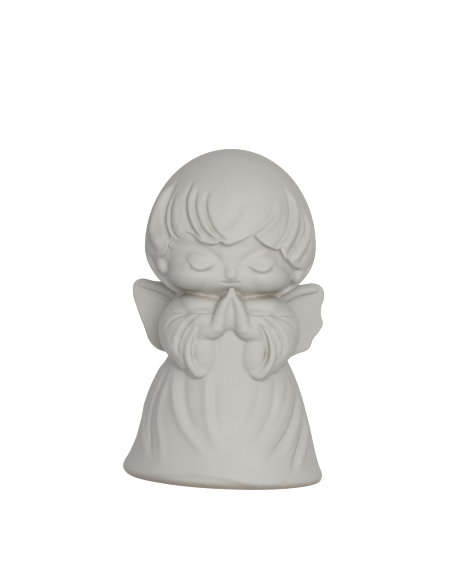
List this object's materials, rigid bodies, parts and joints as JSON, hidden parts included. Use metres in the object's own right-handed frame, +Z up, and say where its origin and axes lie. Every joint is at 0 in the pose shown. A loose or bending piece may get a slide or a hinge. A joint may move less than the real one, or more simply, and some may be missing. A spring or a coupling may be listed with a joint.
{
  "type": "cemetery angel statue",
  "caption": "Small praying child angel with bobbed hair, hanging sleeves, short wings and a long gown, cast in one piece in pale stone, standing on its flat underside.",
  "frame": {"origin": "on the table, in the flat underside, below the middle of the body", "axes": "+Z up from the underside to the crown, -Y towards the front, where the face looks, +X towards the viewer's right"},
  "size_m": [0.1221, 0.0973, 0.1999],
  "materials": {
    "cast_stone": "matte, pale warm grey, a little darker in the creases"
  },
  "bodies": {
    "root": {"angel": "cast_stone"}
  },
  "joints": []
}
